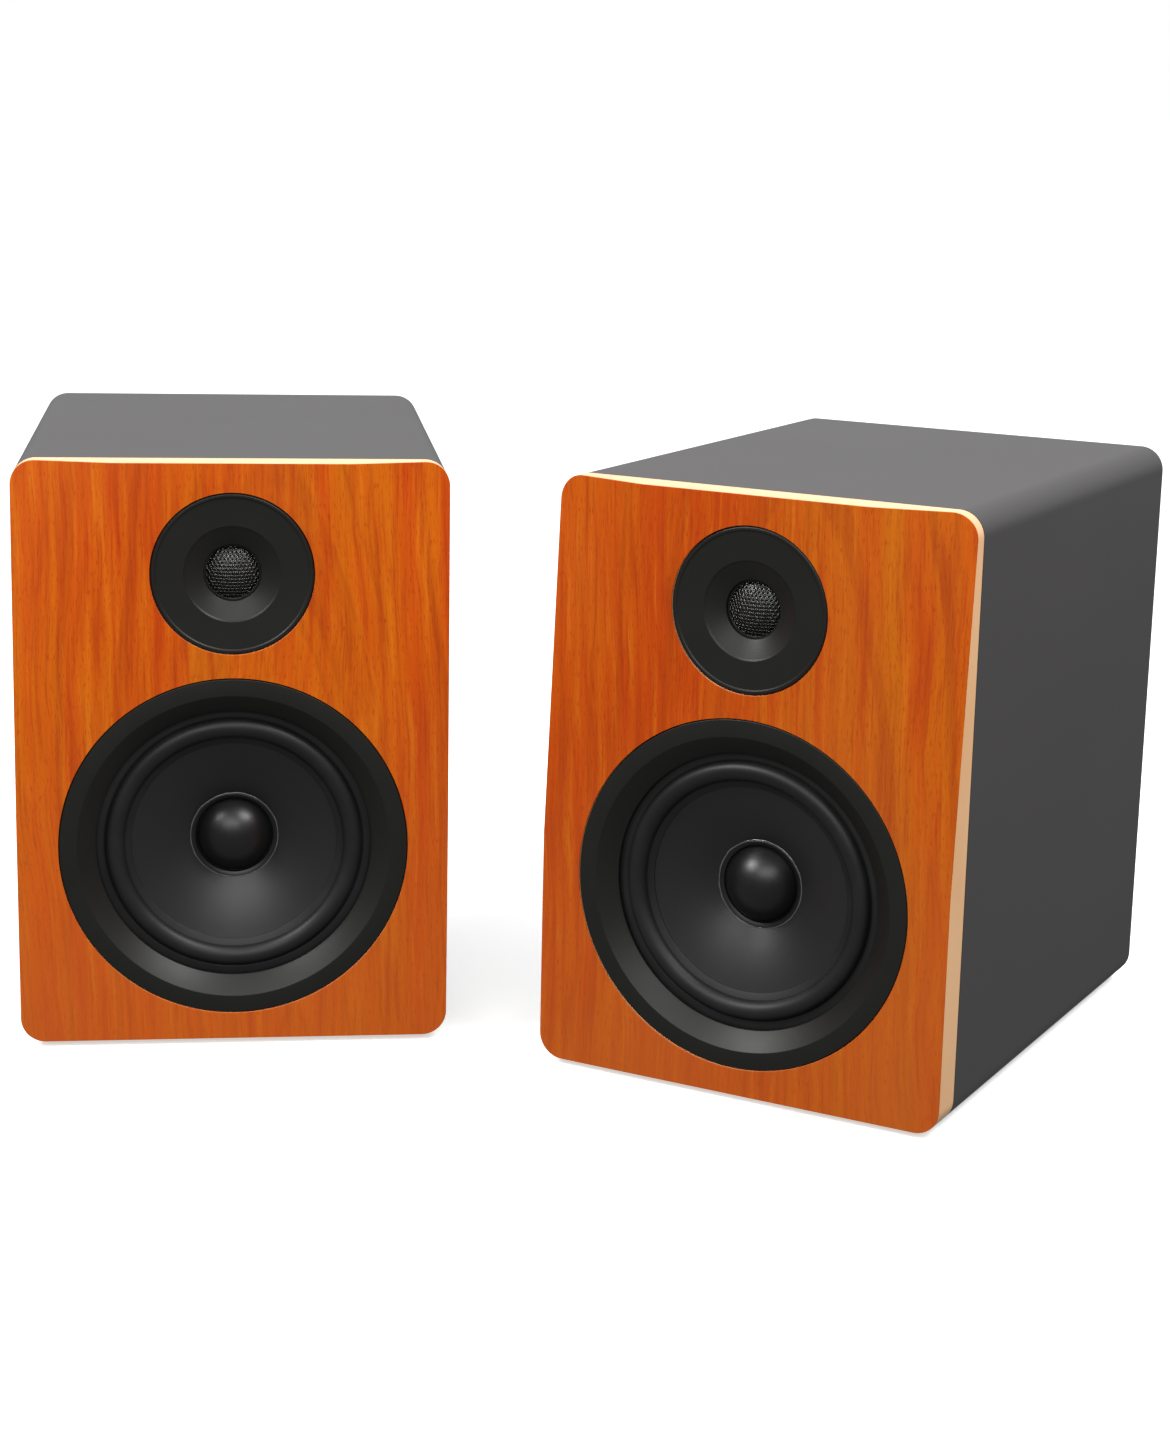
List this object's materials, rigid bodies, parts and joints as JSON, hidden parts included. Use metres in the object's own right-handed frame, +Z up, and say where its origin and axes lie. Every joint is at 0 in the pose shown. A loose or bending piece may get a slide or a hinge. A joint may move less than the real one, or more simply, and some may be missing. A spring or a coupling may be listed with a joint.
{
  "type": "desktop speakers",
  "caption": "Pair of toed-in two-way desktop speakers with bevelled veneered fronts, dome tweeters, ringed woofers, rear ports and one powered cabinet.",
  "frame": {"origin": "on the desk, under the middle of the pair's outline", "axes": "fronts face -Y, +X to the right as seen from the front, +Z up"},
  "size_m": [0.6406, 0.359, 0.2994],
  "materials": {
    "cream_edge": "satin lacquer",
    "cherry_veneer": "satin lacquered veneer",
    "charcoal_wrap": "matte vinyl wrap on board",
    "black_board": "matte black board",
    "rubber": "matte",
    "black_plastic": "fine matte",
    "black_screw": "black zinc",
    "black_steel": "black powder coat",
    "cone_pp": "matte moulded cone",
    "cap_satin": "satin",
    "coil_copper": "enamelled wire on a former",
    "spider_cloth": "resin-dipped cloth",
    "ferrite": "matte ferrite",
    "zinc_steel": "zinc plated",
    "mesh_metal": "black perforated sheet",
    "silk_dome": "coated silk",
    "red_plastic": "satin",
    "black_gloss": "satin",
    "circuit": "printed circuit board with parts",
    "jack_metal": "nickel plated",
    "lamp": "frosted"
  },
  "bodies": {
    "right_speaker": {"right_amp_board": "circuit", "right_amp_plate": "black_steel", "right_baffle": "cream_edge", "right_feet": "rubber", "right_front_veneer": "cherry_veneer", "right_input_jacks": "jack_metal", "right_mains_inlet": "black_plastic", "right_port_tube": "black_plastic", "right_rear_panel": "black_board", "right_screws": "black_screw", "right_sleeve": "charcoal_wrap", "right_status_lamp": "lamp", "right_terminal_block": "black_plastic", "right_transformer": "zinc_steel", "right_tweeter_faceplate": "black_plastic", "right_tweeter_grille": "mesh_metal", "right_tweeter_magnet": "ferrite", "right_tweeter_pole_pieces": "zinc_steel", "right_woofer_basket": "black_steel", "right_woofer_magnet": "ferrite", "right_woofer_pole_pieces": "zinc_steel", "right_woofer_trim_ring": "black_plastic"},
    "left_speaker": {"left_baffle": "cream_edge", "left_crossover_board": "circuit", "left_feet": "rubber", "left_front_veneer": "cherry_veneer", "left_port_tube": "black_plastic", "left_rear_panel": "black_board", "left_screws": "black_screw", "left_sleeve": "charcoal_wrap", "left_terminal_block": "black_plastic", "left_terminal_plate": "black_plastic", "left_tweeter_faceplate": "black_plastic", "left_tweeter_grille": "mesh_metal", "left_tweeter_magnet": "ferrite", "left_tweeter_pole_pieces": "zinc_steel", "left_woofer_basket": "black_steel", "left_woofer_magnet": "ferrite", "left_woofer_pole_pieces": "zinc_steel", "left_woofer_trim_ring": "black_plastic"},
    "right_woofer_motion": {"right_woofer_cone": "cone_pp", "right_woofer_dust_cap": "cap_satin", "right_woofer_voice_coil": "coil_copper", "right_woofer_surround": "rubber", "right_woofer_spider": "spider_cloth"},
    "right_tweeter_motion": {"right_tweeter_dome": "silk_dome"},
    "right_volume_knob": {"right_volume_knob": "black_gloss"},
    "right_treble_knob": {"right_treble_knob": "black_gloss"},
    "right_bass_knob": {"right_bass_knob": "black_gloss"},
    "right_power_rocker": {"right_power_rocker": "black_gloss"},
    "right_red_lever": {"right_red_lever": "red_plastic"},
    "right_black_lever": {"right_black_lever": "black_gloss"},
    "left_woofer_motion": {"left_woofer_cone": "cone_pp", "left_woofer_dust_cap": "cap_satin", "left_woofer_voice_coil": "coil_copper", "left_woofer_surround": "rubber", "left_woofer_spider": "spider_cloth"},
    "left_tweeter_motion": {"left_tweeter_dome": "silk_dome"},
    "left_red_lever": {"left_red_lever": "red_plastic"},
    "left_black_lever": {"left_black_lever": "black_gloss"}
  },
  "joints": [
    {"name": "left_speaker_place", "type": "slide", "parent": "right_speaker", "child": "left_speaker", "axis": [-1, 0, 0], "range_m": [-0.03, 0.3]},
    {"name": "right_woofer_stroke", "type": "slide", "parent": "right_speaker", "child": "right_woofer_motion", "axis": [-0.304, -0.9527, 0], "range_m": [-0.004, 0.004], "stiffness_N_per_m": 1000, "deforming": ["right_woofer_surround", "right_woofer_spider"]},
    {"name": "right_tweeter_stroke", "type": "slide", "parent": "right_speaker", "child": "right_tweeter_motion", "axis": [-0.304, -0.9527, 0], "range_m": [-0.0004, 0.0004], "stiffness_N_per_m": 2000},
    {"name": "right_volume_knob_turn", "type": "hinge", "parent": "right_speaker", "child": "right_volume_knob", "pos_m": [0.17582, 0.14979, 0.171], "axis": [-0.304, -0.9527, 0], "range_deg": [-150, 150]},
    {"name": "right_treble_knob_turn", "type": "hinge", "parent": "right_speaker", "child": "right_treble_knob", "pos_m": [0.20631, 0.14006, 0.171], "axis": [-0.304, -0.9527, 0], "range_deg": [-150, 150]},
    {"name": "right_bass_knob_turn", "type": "hinge", "parent": "right_speaker", "child": "right_bass_knob", "pos_m": [0.23298, 0.13155, 0.171], "axis": [-0.304, -0.9527, 0], "range_deg": [-150, 150]},
    {"name": "right_power_rocker_press", "type": "hinge", "parent": "right_speaker", "child": "right_power_rocker", "pos_m": [0.26805, 0.10986, 0.061], "axis": [0.9527, -0.304, 0], "range_deg": [0, 14]},
    {"name": "right_red_lever_press", "type": "hinge", "parent": "right_speaker", "child": "right_red_lever", "pos_m": [0.18851, 0.13692, 0.125], "axis": [-0.9527, 0.304, 0], "range_deg": [0, 18], "stiffness_Nm_per_rad": 0.15},
    {"name": "right_black_lever_press", "type": "hinge", "parent": "right_speaker", "child": "right_black_lever", "pos_m": [0.16946, 0.143, 0.125], "axis": [-0.9527, 0.304, 0], "range_deg": [0, 18], "stiffness_Nm_per_rad": 0.15},
    {"name": "left_woofer_stroke", "type": "slide", "parent": "left_speaker", "child": "left_woofer_motion", "axis": [0.304, -0.9527, 0], "range_m": [-0.004, 0.004], "stiffness_N_per_m": 1000, "deforming": ["left_woofer_surround", "left_woofer_spider"]},
    {"name": "left_tweeter_stroke", "type": "slide", "parent": "left_speaker", "child": "left_tweeter_motion", "axis": [0.304, -0.9527, 0], "range_m": [-0.0004, 0.0004], "stiffness_N_per_m": 2000},
    {"name": "left_red_lever_press", "type": "hinge", "parent": "left_speaker", "child": "left_red_lever", "pos_m": [-0.20756, 0.14884, 0.097], "axis": [-0.9527, -0.304, 0], "range_deg": [0, 18], "stiffness_Nm_per_rad": 0.15},
    {"name": "left_black_lever_press", "type": "hinge", "parent": "left_speaker", "child": "left_black_lever", "pos_m": [-0.22662, 0.14276, 0.097], "axis": [-0.9527, -0.304, 0], "range_deg": [0, 18], "stiffness_Nm_per_rad": 0.15}
  ]
}
